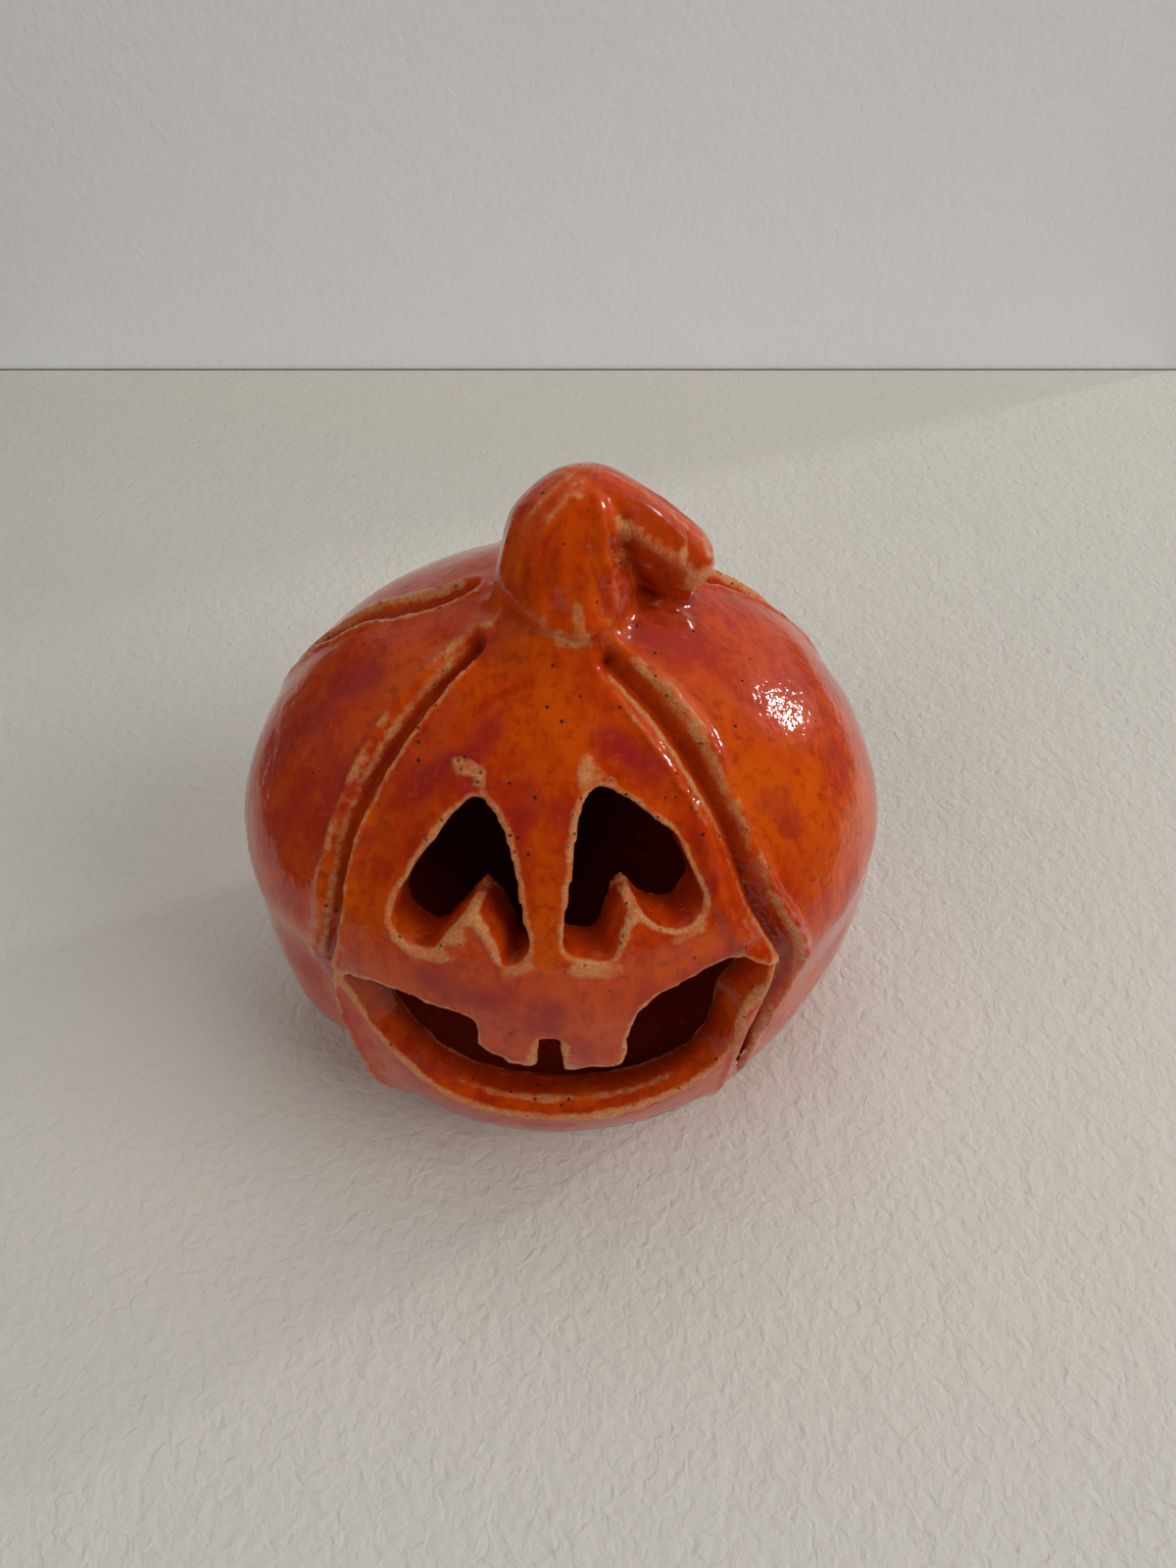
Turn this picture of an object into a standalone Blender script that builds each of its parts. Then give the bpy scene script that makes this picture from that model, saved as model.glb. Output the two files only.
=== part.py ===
"""Carved pumpkin lantern: a small hand-built pot of glazed stoneware for one tea light.

The pot is a thick-walled hollow ball of clay with a flat foot. Five grooves divide its
outside into panels. Two eyes and a wide grinning mouth with one notched tooth are cut
through the front wall, and a thick coil of clay, luted on top, curls over as the stalk.
Everything is fired together, so the lantern is one solid. The face looks along -Y.
"""
import math

import bmesh
import bpy
from mathutils import Matrix, Vector

MM = 0.001

# Outside of the pot.
BODY_WIDTH = 90.0 * MM
BODY_DEPTH = 77.6 * MM
BODY_HEIGHT = 80.6 * MM
BELLY_HEIGHT = 42.0 * MM
SHOULDER_POWER = 1.68
FLANK_POWER = 3.5
FLANK_REACH = 50.4 * MM
FOOT_ROUND = 2.5 * MM

# Inside of the pot.
WALL = 6.0 * MM
DOME_THICKNESS = 7.0 * MM
FLOOR_THICKNESS = 7.0 * MM
FLOOR_POWER = 5.0

# Fineness of the turned shapes.
TURNED_SEGMENTS = 72
SHOULDER_STEPS = 14
FLANK_STEPS = 8
FOOT_STEPS = 2

# The grooves run out from a point a little in front of the middle of the dome.
HUB_X = -2.0 * MM
HUB_Y = -2.7 * MM

# Each groove: height on the body in mm, azimuth about the hub in degrees (0 is the front,
# positive to the right), and the radius of the loop tool in mm.
GROOVES = {
    "front_left": ((79.0, -51, 1.0), (76, -50, 2.1), (67, -50, 2.5), (51, -46.5, 2.4),
                   (39, -50, 2.2), (29, -51.2, 2.0), (18, -46.5, 1.8), (4, -45, 1.3)),
    "front_right": ((78.2, 43, 1.6), (75, 45.8, 2.3), (66, 45.2, 2.5), (52, 46.5, 2.3),
                    (43.5, 50.2, 1.9), (36, 47.2, 1.7), (21, 45.8, 1.7), (4, 46.8, 1.3)),
    "rear_right": ((78.8, 121, 1.0), (74, 121, 2.2), (62, 118, 2.4), (42, 116, 2.2),
                   (20, 116, 1.9), (6, 116, 1.0)),
    "rear": ((78.8, 187, 1.0), (74, 187, 2.2), (62, 189, 2.4), (42, 190, 2.2),
             (20, 189, 1.9), (6, 188, 1.0)),
    "rear_left": ((79.2, -105, 1.4), (76.5, -99, 2.2), (70, -104, 2.4), (60, -109, 2.4),
                  (42, -110, 2.2), (20, -110, 1.9), (6, -109, 1.0)),
}
GROOVE_SIDES_RESOLUTION = 2
GROOVE_RUN_RESOLUTION = 3

# Openings. Each outline goes round once, seen from the front: across, up in mm, and whether
# the knife turned a corner there. Eyes are in mm across the cut, the mouth in degrees round
# the axis, and its low edge is the height of the crest just inside the lip.
CORNER = True
CURVE = False
EYE_TURN = 20.0
LEFT_EYE = (
    (-0.9, 67.5, CURVE), (1.7, 66.9, CURVE), (5.0, 62.8, CURVE), (7.2, 57.6, CURVE),
    (8.5, 53.4, CURVE), (6.6, 51.0, CURVE), (4.9, 53.8, CURVE), (1.4, 56.9, CURVE),
    (-1.0, 54.3, CURVE), (-3.5, 51.0, CURVE), (-6.7, 51.5, CURVE), (-8.4, 53.6, CURVE),
    (-6.7, 58.8, CURVE), (-3.9, 64.2, CURVE),
)
RIGHT_EYE = (
    (-3.6, 68.9, CURVE), (-0.9, 67.7, CURVE), (3.6, 63.8, CURVE), (4.5, 60.6, CURVE),
    (5.6, 56.2, CURVE), (3.4, 54.2, CURVE), (0.1, 55.2, CURVE), (-2.4, 57.6, CURVE),
    (-4.7, 55.0, CURVE), (-6.3, 52.1, CURVE), (-9.0, 52.2, CURVE), (-11.1, 53.6, CURVE),
    (-9.2, 60.4, CURVE), (-6.2, 67.0, CURVE),
)
MOUTH = (
    (-43.4, 39.6, CORNER), (-37.0, 42.5, CURVE), (-31.0, 43.0, CURVE), (-22.5, 41.7, CURVE),
    (-17.0, 41.0, CURVE), (-16.3, 35.4, CORNER), (-10.0, 33.0, CURVE), (-4.8, 32.1, CORNER),
    (-3.6, 38.4, CORNER), (0.0, 38.6, CORNER), (0.4, 32.2, CORNER), (5.5, 32.0, CURVE),
    (12.4, 32.1, CORNER), (14.2, 40.6, CURVE), (17.2, 44.2, CURVE), (25.2, 46.3, CURVE),
    (32.0, 47.4, CURVE), (36.5, 46.5, CURVE), (42.5, 43.8, CORNER), (39.0, 40.0, CURVE),
    (35.4, 35.2, CURVE), (34.7, 28.6, CURVE), (31.0, 23.6, CURVE), (23.0, 19.9, CURVE),
    (11.0, 17.4, CURVE), (-4.0, 16.6, CURVE), (-17.0, 17.2, CURVE), (-26.5, 19.8, CURVE),
    (-33.0, 25.6, CURVE), (-38.0, 30.2, CURVE), (-41.2, 35.6, CURVE),
)
OUTLINE_RESOLUTION = 2
LIP_BEVEL = 2.5 * MM
LIP_BEVEL_SLOPE = 0.9
LIP_FALL_SLOPE = 0.42
LIP_TOP = 36.0 * MM
LIP_REACH = 5.0 * MM
MOUTH_SLAB = 4.0 * MM
MOUTH_LAYER = 1.0 * MM
MOUTH_INNER_RADIUS = 14.0 * MM
MOUTH_OUTER_RADIUS = 72.0 * MM
EYE_NEAR = 10.0 * MM
EYE_FAR = 60.0 * MM

# The stalk's coil: where its middle runs, and its radius, all in mm. It rises from the dome,
# turns over and comes down to rest on the right-hand shoulder.
STALK = (
    (0.3, -2.8, 75.4, 12.0), (0.7, -2.8, 79.5, 8.9), (0.5, -2.6, 84.6, 7.4),
    (1.0, -1.8, 88.5, 6.5), (3.2, 0.0, 89.8, 5.7), (8.4, 1.9, 87.6, 4.7),
    (12.9, 3.3, 83.2, 4.5), (15.2, 4.2, 80.5, 4.2), (16.6, 4.6, 79.1, 3.4),
    (17.7, 5.0, 78.1, 1.6),
)
STALK_SIDES_RESOLUTION = 5
STALK_RUN_RESOLUTION = 3

MERGE_DISTANCE = 0.01 * MM
SHARP_ANGLE = 35.0

GLAZE_COLOUR = (0.72, 0.13, 0.015, 1.0)
GLAZE_ROUGHNESS = 0.12

for old in list(bpy.data.objects):
    bpy.data.objects.remove(old, do_unlink=True)


def new_collection(name):
    """Make a collection and put it in the scene."""
    collection = bpy.data.collections.new(name)
    bpy.context.scene.collection.children.link(collection)
    return collection


lantern_parts = new_collection("carved_pumpkin_lantern")
cutters = new_collection("cutters")


def body_share(height):
    """Return how wide the body is at a height, as a share of its belly."""
    if height > BELLY_HEIGHT:
        rise = (height - BELLY_HEIGHT) / (BODY_HEIGHT - BELLY_HEIGHT)
        power = SHOULDER_POWER
    else:
        rise = (BELLY_HEIGHT - height) / FLANK_REACH
        power = FLANK_POWER
    return max(0.0, 1.0 - min(rise, 1.0) ** power) ** (1.0 / power)


def body_point(height, azimuth):
    """Return the point of the body's surface at a height and an azimuth about the hub."""
    angle = math.radians(azimuth)
    across = math.sin(angle)
    forward = -math.cos(angle)
    half_width = BODY_WIDTH / 2 * body_share(height)
    half_depth = BODY_DEPTH / 2 * body_share(height)
    a = (across / half_width) ** 2 + (forward / half_depth) ** 2
    b = HUB_X * across / half_width ** 2 + HUB_Y * forward / half_depth ** 2
    c = (HUB_X / half_width) ** 2 + (HUB_Y / half_depth) ** 2 - 1.0
    reach = (-b + math.sqrt(b * b - a * c)) / a
    return Vector((HUB_X + reach * across, HUB_Y + reach * forward, height))


def shoulder_profile(radius, top, power):
    """Return the profile from the top of a dome out to its belly."""
    points = []
    for step in range(SHOULDER_STEPS):
        turn = math.pi / 2 * (1.0 - step / SHOULDER_STEPS)
        out = radius * math.cos(turn) ** (2.0 / power) if step else 0.0
        up = BELLY_HEIGHT + (top - BELLY_HEIGHT) * math.sin(turn) ** (2.0 / power)
        points.append((out, up))
    return points


def body_profile():
    """Return the outside profile, top to bottom, with a rounded foot and a flat underside."""
    radius = BODY_WIDTH / 2
    points = shoulder_profile(radius, BODY_HEIGHT, SHOULDER_POWER)
    for step in range(FLANK_STEPS + 1):
        up = BELLY_HEIGHT + (FOOT_ROUND - BELLY_HEIGHT) * step / FLANK_STEPS
        points.append((radius * body_share(up), up))
    centre = radius * body_share(FOOT_ROUND) - FOOT_ROUND
    for step in range(1, FOOT_STEPS + 1):
        turn = math.pi / 2 * step / FOOT_STEPS
        points.append((centre + FOOT_ROUND * math.cos(turn), FOOT_ROUND * (1.0 - math.sin(turn))))
    points.append((0.0, 0.0))
    return points


def cavity_profile():
    """Return the inside profile, top to bottom, down to a flat floor with a rounded corner."""
    radius = BODY_WIDTH / 2 - WALL
    drop = BELLY_HEIGHT - FLOOR_THICKNESS
    points = shoulder_profile(radius, BODY_HEIGHT - DOME_THICKNESS, SHOULDER_POWER)
    for step in range(FLANK_STEPS):
        turn = math.pi / 2 * step / FLANK_STEPS
        out = radius * math.cos(turn) ** (2.0 / FLOOR_POWER)
        points.append((out, BELLY_HEIGHT - drop * math.sin(turn) ** (2.0 / FLOOR_POWER)))
    points.append((0.0, FLOOR_THICKNESS))
    return points


def turned(name, profile, depth_share, collection):
    """Turn a profile about Z and press the result to its depth."""
    mesh = bpy.data.meshes.new(name)
    edges = [(i, i + 1) for i in range(len(profile) - 1)]
    mesh.from_pydata([(out, 0.0, up) for out, up in profile], edges, [])
    turning = bpy.data.objects.new(name, mesh)
    collection.objects.link(turning)
    screw = turning.modifiers.new("turn", "SCREW")
    screw.steps = TURNED_SEGMENTS
    screw.render_steps = TURNED_SEGMENTS
    screw.use_merge_vertices = True
    screw.merge_threshold = MERGE_DISTANCE
    piece = baked(turning, collection)
    piece.data.transform(Matrix.Diagonal((1.0, depth_share, 1.0, 1.0)))
    return piece


def baked(source, collection):
    """Replace an object with the mesh that its modifiers or its curve make."""
    name = source.name
    bpy.context.view_layer.update()
    evaluated = source.evaluated_get(bpy.context.evaluated_depsgraph_get())
    mesh = bpy.data.meshes.new_from_object(evaluated)
    place = source.matrix_world.copy()
    bpy.data.objects.remove(source, do_unlink=True)
    shape = bmesh.new()
    shape.from_mesh(mesh)
    bmesh.ops.remove_doubles(shape, verts=shape.verts, dist=MERGE_DISTANCE)
    shape.to_mesh(mesh)
    shape.free()
    mesh.name = name
    piece = bpy.data.objects.new(name, mesh)
    piece.matrix_world = place
    collection.objects.link(piece)
    return piece


def coil(name, points, sides, run, collection):
    """Roll a coil of clay: a round tube along smooth points, with its own radius at each."""
    curve = bpy.data.curves.new(name, "CURVE")
    curve.dimensions = "3D"
    curve.bevel_depth = MM
    curve.bevel_resolution = sides
    curve.resolution_u = run
    curve.use_fill_caps = True
    spline = curve.splines.new("BEZIER")
    spline.bezier_points.add(len(points) - 1)
    for knot, (place, radius) in zip(spline.bezier_points, points):
        knot.co = place
        knot.radius = radius
        knot.handle_left_type = "AUTO"
        knot.handle_right_type = "AUTO"
    tube = bpy.data.objects.new(name, curve)
    collection.objects.link(tube)
    return baked(tube, collection)


def knife_cut(name, outline, depth):
    """Make a slab with a flat outline, facing +Z, whose middle plane is at Z 0."""
    curve = bpy.data.curves.new(name, "CURVE")
    curve.dimensions = "2D"
    curve.fill_mode = "BOTH"
    curve.extrude = depth / 2
    curve.resolution_u = OUTLINE_RESOLUTION
    spline = curve.splines.new("BEZIER")
    spline.bezier_points.add(len(outline) - 1)
    spline.use_cyclic_u = True
    for knot, (across, up, corner) in zip(spline.bezier_points, outline):
        knot.co = (across, up, 0.0)
        handle = "VECTOR" if corner else "AUTO"
        knot.handle_left_type = handle
        knot.handle_right_type = handle
    slab = bpy.data.objects.new(name, curve)
    cutters.objects.link(slab)
    return baked(slab, cutters)


def eye_cutter(name, outline, turn):
    """Cut an eye: the knife goes in level, square to the wall at that side of the face."""
    scaled = [(across * MM, up * MM, corner) for across, up, corner in outline]
    cutter = knife_cut(name, scaled, EYE_FAR - EYE_NEAR)
    upright = Matrix.Rotation(math.radians(90.0), 4, "X")
    outward = Matrix.Translation((0.0, -(EYE_FAR + EYE_NEAR) / 2, 0.0))
    cutter.data.transform(Matrix.Rotation(math.radians(turn), 4, "Z") @ outward @ upright)
    return cutter


def mouth_cutter(name, outline):
    """Cut the mouth: the knife goes in towards the axis and leaves a crest along the low lip."""
    middle_radius = BODY_DEPTH / 2
    across_scale = math.radians(1.0) * middle_radius
    scaled = [(turn * across_scale, up * MM, corner) for turn, up, corner in outline]
    cutter = knife_cut(name, scaled, MOUTH_SLAB)
    shape = bmesh.new()
    shape.from_mesh(cutter.data)
    for level in (0.0, MOUTH_LAYER):
        everything = shape.verts[:] + shape.edges[:] + shape.faces[:]
        bmesh.ops.bisect_plane(shape, geom=everything, plane_co=(0, 0, level), plane_no=(0, 0, 1))
    for vert in shape.verts:
        turn = vert.co.x / middle_radius
        up = vert.co.y
        across = math.sin(turn)
        forward = -math.cos(turn)
        share = body_share(up)
        surface = share / math.hypot(across / (BODY_WIDTH / 2), forward / (BODY_DEPTH / 2))
        crest = surface - LIP_BEVEL
        low = math.sqrt(max(0.0, 1.0 - up / LIP_TOP))
        layer = round(vert.co.z / MOUTH_LAYER)
        if layer > 0:
            reach = surface + LIP_REACH if layer == 1 else MOUTH_OUTER_RADIUS
            up -= LIP_BEVEL_SLOPE * low * (LIP_BEVEL + LIP_REACH)
        elif layer < 0:
            reach = MOUTH_INNER_RADIUS
            up -= LIP_FALL_SLOPE * low * (crest - reach)
        else:
            reach = crest
        vert.co = (reach * across, reach * forward, up)
    bmesh.ops.triangulate(shape, faces=shape.faces[:])
    shape.to_mesh(cutter.data)
    shape.free()
    return cutter


def boolean(piece, tool, operation):
    """Add a Boolean that cuts the tool out of the piece, or joins it on."""
    step = piece.modifiers.new(tool.name, "BOOLEAN")
    step.operation = operation
    step.solver = "EXACT"
    step.object = tool
    tool.hide_render = True
    tool.display_type = "WIRE"


def glaze():
    """Return the orange glaze."""
    material = bpy.data.materials.new("orange_glaze")
    material.use_nodes = True
    shader = material.node_tree.nodes["Principled BSDF"]
    shader.inputs["Base Color"].default_value = GLAZE_COLOUR
    shader.inputs["Roughness"].default_value = GLAZE_ROUGHNESS
    shader.inputs["Metallic"].default_value = 0.0
    material.diffuse_color = GLAZE_COLOUR
    return material


depth_share = BODY_DEPTH / BODY_WIDTH
cavity_share = (BODY_DEPTH / 2 - WALL) / (BODY_WIDTH / 2 - WALL)
lantern = turned("pumpkin_lantern", body_profile(), depth_share, lantern_parts)
lantern.data.materials.append(glaze())

cavity = turned("cavity", cavity_profile(), cavity_share, cutters)

stalk_points = [(Vector((x, y, z)) * MM, radius) for x, y, z, radius in STALK]
stalk = coil("stalk", stalk_points, STALK_SIDES_RESOLUTION, STALK_RUN_RESOLUTION, cutters)

boolean(lantern, stalk, "UNION")
for groove_name, knots in GROOVES.items():
    groove_points = [(body_point(height * MM, turn), radius) for height, turn, radius in knots]
    groove = coil("groove_" + groove_name, groove_points,
                  GROOVE_SIDES_RESOLUTION, GROOVE_RUN_RESOLUTION, cutters)
    boolean(lantern, groove, "DIFFERENCE")
boolean(lantern, cavity, "DIFFERENCE")
boolean(lantern, eye_cutter("left_eye", LEFT_EYE, -EYE_TURN), "DIFFERENCE")
boolean(lantern, eye_cutter("right_eye", RIGHT_EYE, EYE_TURN), "DIFFERENCE")
boolean(lantern, mouth_cutter("mouth", MOUTH), "DIFFERENCE")
lantern.data.shade_smooth()
lantern.data.set_sharp_from_angle(angle=math.radians(SHARP_ANGLE))
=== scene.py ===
import math

import bmesh
import bpy
import numpy as np
from mathutils import Matrix, Vector, noise


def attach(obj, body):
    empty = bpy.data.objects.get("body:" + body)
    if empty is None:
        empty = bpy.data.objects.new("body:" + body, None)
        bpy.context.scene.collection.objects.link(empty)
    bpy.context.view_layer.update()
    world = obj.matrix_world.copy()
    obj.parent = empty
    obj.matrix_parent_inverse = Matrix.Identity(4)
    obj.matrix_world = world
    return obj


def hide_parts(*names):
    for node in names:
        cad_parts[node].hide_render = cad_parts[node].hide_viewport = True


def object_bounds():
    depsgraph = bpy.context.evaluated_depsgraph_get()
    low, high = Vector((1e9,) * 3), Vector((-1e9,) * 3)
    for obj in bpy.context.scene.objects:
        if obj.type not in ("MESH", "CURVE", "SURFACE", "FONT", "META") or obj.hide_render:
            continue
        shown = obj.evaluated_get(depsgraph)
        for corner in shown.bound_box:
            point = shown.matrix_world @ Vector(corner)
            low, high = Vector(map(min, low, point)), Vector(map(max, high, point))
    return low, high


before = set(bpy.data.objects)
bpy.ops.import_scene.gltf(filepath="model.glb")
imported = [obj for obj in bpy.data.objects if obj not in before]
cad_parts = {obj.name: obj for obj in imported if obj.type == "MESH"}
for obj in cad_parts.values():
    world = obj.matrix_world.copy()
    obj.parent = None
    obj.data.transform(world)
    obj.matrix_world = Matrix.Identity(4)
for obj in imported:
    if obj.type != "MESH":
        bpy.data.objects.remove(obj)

cad_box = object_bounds()

# ---------------------------------------------------------------------------------------
# The pot. A ball of grogged stoneware is opened with the thumbs, pinched out to an even
# wall about 6 mm thick and closed over into a dome, then tapped flat to make the foot.
# ---------------------------------------------------------------------------------------

MM = 0.001
POT_WIDTH = cad_box[1].x - cad_box[0].x
POT_DEPTH = cad_box[1].y - cad_box[0].y
POT_HEIGHT = 80.6 * MM
BELLY_HEIGHT = 42.0 * MM
SHOULDER_POWER = 1.68
FLANK_POWER = 3.5
FLANK_REACH = 50.4 * MM
FOOT_ROUND = 2.5 * MM
WALL = 6.0 * MM
DOME_THICKNESS = 7.0 * MM
FLOOR_THICKNESS = 7.0 * MM
FLOOR_POWER = 5.0
TURNED_SEGMENTS = 144
SHOULDER_STEPS = 30
FLANK_STEPS = 20
FOOT_STEPS = 5
WELD = 0.002 * MM


def pot_share(height):
    """Return how wide the pot is at a height, as a share of its belly."""
    if height > BELLY_HEIGHT:
        rise = (height - BELLY_HEIGHT) / (POT_HEIGHT - BELLY_HEIGHT)
        power = SHOULDER_POWER
    else:
        rise = (BELLY_HEIGHT - height) / FLANK_REACH
        power = FLANK_POWER
    return max(0.0, 1.0 - min(rise, 1.0) ** power) ** (1.0 / power)


def dome(radius, top):
    """Return a profile from the crown of a dome out to its belly."""
    points = []
    for step in range(SHOULDER_STEPS):
        turn = math.pi / 2 * (1.0 - step / SHOULDER_STEPS)
        out = radius * math.cos(turn) ** (2.0 / SHOULDER_POWER) if step else 0.0
        up = BELLY_HEIGHT + (top - BELLY_HEIGHT) * math.sin(turn) ** (2.0 / SHOULDER_POWER)
        points.append((out, up))
    return points


def outside_profile():
    """Return the outside of the pot, top to bottom, down to its tapped-flat foot."""
    radius = POT_WIDTH / 2
    points = dome(radius, POT_HEIGHT)
    for step in range(FLANK_STEPS + 1):
        up = BELLY_HEIGHT + (FOOT_ROUND - BELLY_HEIGHT) * step / FLANK_STEPS
        points.append((radius * pot_share(up), up))
    middle = radius * pot_share(FOOT_ROUND) - FOOT_ROUND
    for step in range(1, FOOT_STEPS + 1):
        turn = math.pi / 2 * step / FOOT_STEPS
        points.append((middle + FOOT_ROUND * math.cos(turn), FOOT_ROUND * (1.0 - math.sin(turn))))
    points.append((0.0, 0.0))
    return points


def inside_profile():
    """Return the chamber, top to bottom, down to its thumbed-flat floor."""
    radius = POT_WIDTH / 2 - WALL
    drop = BELLY_HEIGHT - FLOOR_THICKNESS
    points = dome(radius, POT_HEIGHT - DOME_THICKNESS)
    for step in range(FLANK_STEPS):
        turn = math.pi / 2 * step / FLANK_STEPS
        out = radius * math.cos(turn) ** (2.0 / FLOOR_POWER)
        points.append((out, BELLY_HEIGHT - drop * math.sin(turn) ** (2.0 / FLOOR_POWER)))
    points.append((0.0, FLOOR_THICKNESS))
    return points


def turned(profile, pressed):
    """Spin a profile into a round form, and press it to its depth."""
    form = bmesh.new()
    rim = [form.verts.new((out, 0.0, up)) for out, up in profile]
    side = [form.edges.new(pair) for pair in zip(rim, rim[1:])]
    bmesh.ops.spin(form, geom=rim + side, cent=(0, 0, 0), axis=(0, 0, 1), angle=math.tau,
                   steps=TURNED_SEGMENTS, use_merge=True, use_duplicate=False)
    bmesh.ops.remove_doubles(form, verts=form.verts, dist=WELD)
    bmesh.ops.recalc_face_normals(form, faces=form.faces)
    bmesh.ops.scale(form, vec=(1.0, pressed, 1.0), verts=form.verts)
    return form


def placed(name, form):
    """Put a finished form in the scene as an object at the origin."""
    mesh = bpy.data.meshes.new(name)
    form.to_mesh(mesh)
    form.free()
    piece = bpy.data.objects.new(name, mesh)
    bpy.context.scene.collection.objects.link(piece)
    return piece


pot = placed("pumpkin_pot", turned(outside_profile(), POT_DEPTH / POT_WIDTH))
chamber_pressed = (POT_DEPTH / 2 - WALL) / (POT_WIDTH / 2 - WALL)
chamber = placed("chamber", turned(inside_profile(), chamber_pressed))

# ---------------------------------------------------------------------------------------
# The stalk. A fat coil of the same clay, luted on to the crown and drawn down over it,
# then bent over to the right so that its tip comes to rest on the shoulder.
# ---------------------------------------------------------------------------------------

# Where the coil's middle runs, and how thick it is there, in mm: x, y, z, radius.
STALK = (
    (0.3, -2.8, 75.4, 12.0), (0.7, -2.8, 79.5, 8.9), (0.5, -2.6, 84.6, 7.4),
    (1.0, -1.8, 88.5, 6.5), (3.2, -0.2, 89.8, 5.7), (8.1, 1.0, 86.9, 4.9),
    (12.4, 2.3, 82.5, 4.9), (14.9, 3.3, 80.0, 4.6), (16.4, 3.9, 78.9, 3.7),
    (17.6, 4.4, 77.9, 1.7),
)
STALK_SIDES = 40
STALK_STEPS = 8
TIP_ROUNDING = 4


def through(knots, steps, ring=False, corners=()):
    """Return points on a smooth run through the knots, which turns sharply only at corners."""
    knots = [np.array(knot, float) for knot in knots]
    count = len(knots)
    last = count if ring else count - 1
    run = []
    for i in range(last):
        here = knots[i]
        there = knots[(i + 1) % count]
        span = np.linalg.norm(there - here)
        slopes = []
        for j in (i, i + 1):
            j %= count
            ends = not ring and j in (0, count - 1)
            if ends or j in corners:
                slopes.append(there - here)
                continue
            before = knots[j - 1]
            after = knots[(j + 1) % count]
            reach = np.linalg.norm(after - knots[j]) + np.linalg.norm(knots[j] - before)
            slopes.append((after - before) / reach * span)
        for step in range(steps):
            t = step / steps
            run.append((2 * t ** 3 - 3 * t ** 2 + 1) * here + (t ** 3 - 2 * t ** 2 + t) * slopes[0]
                       + (3 * t ** 2 - 2 * t ** 3) * there + (t ** 3 - t ** 2) * slopes[1])
    if not ring:
        run.append(knots[-1])
    return run


def rolled(run, sides):
    """Roll a coil along a run of points (x, y, z, radius), ring by ring."""
    form = bmesh.new()
    places = [Vector(point[:3]) for point in run]
    bmesh.ops.create_circle(form, segments=sides, radius=1.0)
    front = form.verts[:]
    skin = form.edges[:]
    bmesh.ops.contextual_create(form, geom=skin)
    turn = Vector((0, 0, 1)).rotation_difference(places[1] - places[0])
    heading = places[1] - places[0]
    last = Matrix.Identity(4)
    for i, point in enumerate(run):
        ahead = places[min(i + 1, len(run) - 1)] - places[max(i - 1, 0)]
        turn = heading.rotation_difference(ahead) @ turn
        heading = ahead
        here = Matrix.LocRotScale(places[i], turn, Vector((point[3],) * 3))
        if i:
            grown = bmesh.ops.extrude_edge_only(form, edges=skin)["geom"]
            front = [part for part in grown if isinstance(part, bmesh.types.BMVert)]
            skin = [part for part in grown if isinstance(part, bmesh.types.BMEdge)
                    and all(vert in front for vert in part.verts)]
        bmesh.ops.transform(form, matrix=here @ last.inverted(), verts=front)
        last = here
    bmesh.ops.contextual_create(form, geom=skin)
    bmesh.ops.recalc_face_normals(form, faces=form.faces)
    return form


def in_metres(points):
    """Turn points given in mm, radius and all, into metres."""
    return [tuple(value * MM for value in point) for point in points]


stalk = placed("stalk", rolled(through(in_metres(STALK), STALK_STEPS), STALK_SIDES))

# ---------------------------------------------------------------------------------------
# The grooves. While the clay is leather hard, a wire loop tool is drawn from beside the
# stalk down to the foot, five times round, to part the pumpkin into its panels.
# ---------------------------------------------------------------------------------------

# The grooves run out from a hub a little in front of the middle of the dome. Each: height
# in mm, azimuth about the hub in degrees (0 is the front, positive right), loop radius in mm.
HUB = Vector((-2.0, -2.7, 0.0)) * MM
GROOVES = {
    "front_left": ((77.5, -50, 0.7), (72, -51, 1.0), (62, -49, 0.9), (49, -45, 0.9),
                   (36, -48, 1.0), (20, -46, 1.1), (4, -45, 1.0)),
    "front_right": ((77.5, 45, 0.9), (73, 48, 1.3), (64, 46, 1.0), (55, 45, 1.0),
                    (42, 49, 1.2), (30, 45, 1.2), (4, 46, 1.0)),
    "rear_right": ((78.4, 121, 1.0), (74, 121, 1.5), (62, 118, 1.5), (42, 116, 1.4),
                   (20, 116, 1.3), (6, 116, 1.0)),
    "rear": ((78.4, 187, 1.0), (74, 187, 1.5), (62, 189, 1.5), (42, 190, 1.4),
             (20, 189, 1.3), (6, 188, 1.0)),
    "rear_left": ((78.5, -112, 1.0), (76, -103, 1.5), (70, -107, 1.5), (42, -110, 1.4),
                  (6, -109, 1.0)),
}
GROOVE_SIDES = 16
GROOVE_STEPS = 6


def pot_point(height, azimuth):
    """Return the point of the pot's surface at a height and an azimuth about the hub."""
    across = math.sin(math.radians(azimuth))
    forward = -math.cos(math.radians(azimuth))
    half_width = POT_WIDTH / 2 * pot_share(height)
    half_depth = POT_DEPTH / 2 * pot_share(height)
    a = (across / half_width) ** 2 + (forward / half_depth) ** 2
    b = HUB.x * across / half_width ** 2 + HUB.y * forward / half_depth ** 2
    c = (HUB.x / half_width) ** 2 + (HUB.y / half_depth) ** 2 - 1.0
    reach = (-b + math.sqrt(b * b - a * c)) / a
    return Vector((HUB.x + reach * across, HUB.y + reach * forward, height))


groove_runs = {}
loop_cuts = []
for side, knots in GROOVES.items():
    marked = [(*pot_point(height * MM, turn), radius * MM) for height, turn, radius in knots]
    groove_runs[side] = np.array(through(marked, GROOVE_STEPS))
    loop_cuts.append(placed("groove_" + side, rolled(groove_runs[side], GROOVE_SIDES)))

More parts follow.
